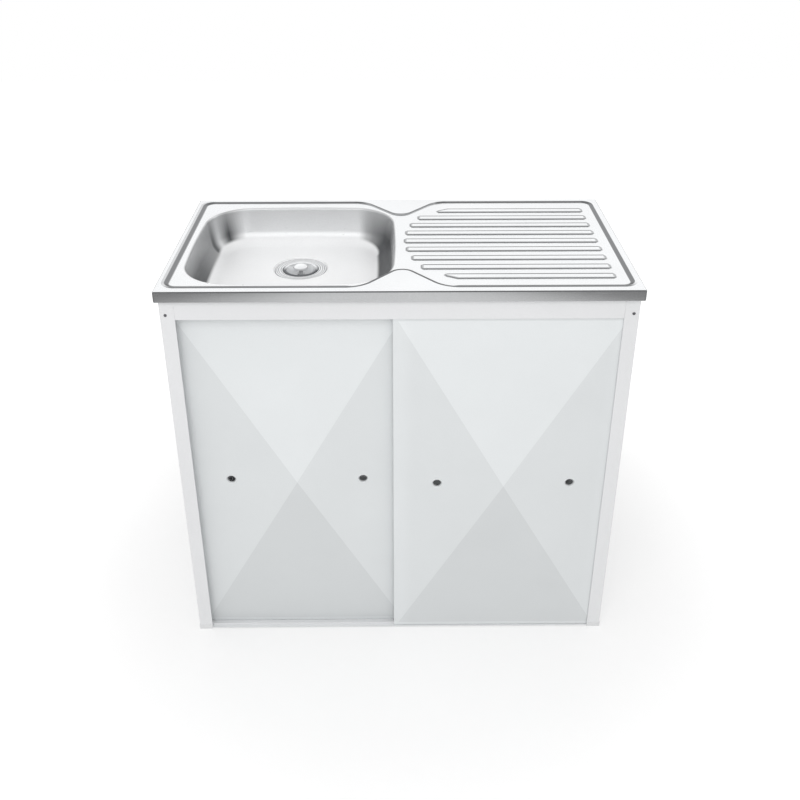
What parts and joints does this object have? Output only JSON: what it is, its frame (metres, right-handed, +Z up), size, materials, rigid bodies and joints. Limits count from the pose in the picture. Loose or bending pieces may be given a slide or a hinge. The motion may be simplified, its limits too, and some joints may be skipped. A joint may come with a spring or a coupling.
{
  "type": "kitchen sink unit",
  "caption": "Free-standing sheet-steel kitchen sink unit: pressed stainless top with bowl and ribbed drainer over a cupboard with bypass sliding doors.",
  "frame": {"origin": "on the floor, under the centre of the sink top's plan", "axes": "+Z up, +X to the right seen from the front, so the bowl is at -X; the doors face -Y"},
  "size_m": [0.914, 0.48, 0.85],
  "materials": {
    "white_coat": "smooth white powder coat",
    "door_coat": "smooth cool-white powder coat",
    "track_alloy": "white powder coat over folded sheet",
    "foot_plastic": "moulded pale plastic",
    "dark_zinc": "blackened zinc",
    "black_rubber": "matte black rubber",
    "steel_deck": "satin pressed stainless steel",
    "steel_bowl": "satin drawn stainless steel",
    "galvanised": "zinc-plated sheet",
    "waste_steel": "polished stainless steel",
    "fibre": "red fibre",
    "white_plastic": "white moulded plastic",
    "nylon": "natural nylon"
  },
  "bodies": {
    "cabinet": {"side_panel_left": "white_coat", "side_panel_right": "white_coat", "front_top_rail": "white_coat", "rear_top_rail": "white_coat", "back_panel": "white_coat", "base_panel": "white_coat", "corner_gussets": "white_coat", "top_door_track": "track_alloy", "bottom_door_track": "track_alloy", "foot_caps": "foot_plastic", "frame_screws": "dark_zinc", "sink_deck": "steel_deck", "sink_bowl": "steel_bowl", "waste_washer": "fibre", "waste_locknut": "white_plastic", "tailpiece": "white_plastic", "tailpiece_nut": "white_plastic", "door_buffers": "black_rubber", "waste_gasket": "black_rubber", "drainer_stiffener": "galvanised", "sink_clips": "galvanised", "waste_body": "waste_steel"},
    "strainer_basket": {"basket_cup": "waste_steel", "basket_knob": "waste_steel", "basket_stopper": "black_rubber"},
    "left_door": {"left_door_panel": "door_coat", "left_door_guides": "nylon", "left_door_brackets": "galvanised", "left_door_axles": "galvanised"},
    "left_door_roller_left": {"left_door_roller_left": "nylon"},
    "left_door_roller_right": {"left_door_roller_right": "nylon"},
    "right_door": {"right_door_panel": "door_coat", "right_door_guides": "nylon", "right_door_brackets": "galvanised", "right_door_axles": "galvanised"},
    "right_door_roller_left": {"right_door_roller_left": "nylon"},
    "right_door_roller_right": {"right_door_roller_right": "nylon"}
  },
  "joints": [
    {"name": "basket_lift", "type": "slide", "parent": "cabinet", "child": "strainer_basket", "axis": [0, 0, 1], "range_m": [0, 0.16]},
    {"name": "left_door_slide", "type": "slide", "parent": "cabinet", "child": "left_door", "axis": [1, 0, 0], "range_m": [0, 0.427]},
    {"name": "left_door_roller_left_spin", "type": "hinge", "parent": "left_door", "child": "left_door_roller_left", "pos_m": [-0.3905, -0.20725, 0.0145], "axis": [0, 1, 0], "continuous": true},
    {"name": "left_door_roller_right_spin", "type": "hinge", "parent": "left_door", "child": "left_door_roller_right", "pos_m": [-0.0365, -0.20725, 0.0145], "axis": [0, 1, 0], "continuous": true},
    {"name": "right_door_slide", "type": "slide", "parent": "cabinet", "child": "right_door", "axis": [1, 0, 0], "range_m": [-0.427, 0]},
    {"name": "right_door_roller_left_spin", "type": "hinge", "parent": "right_door", "child": "right_door_roller_left", "pos_m": [0.0365, -0.22425, 0.0145], "axis": [0, 1, 0], "continuous": true},
    {"name": "right_door_roller_right_spin", "type": "hinge", "parent": "right_door", "child": "right_door_roller_right", "pos_m": [0.3905, -0.22425, 0.0145], "axis": [0, 1, 0], "continuous": true}
  ],
  "couplings": [
    {"joint": "left_door_roller_left_spin", "follows": "left_door_slide", "rad_per_m": 161.29},
    {"joint": "left_door_roller_right_spin", "follows": "left_door_slide", "rad_per_m": 161.29},
    {"joint": "right_door_roller_left_spin", "follows": "right_door_slide", "rad_per_m": 161.29},
    {"joint": "right_door_roller_right_spin", "follows": "right_door_slide", "rad_per_m": 161.29}
  ]
}
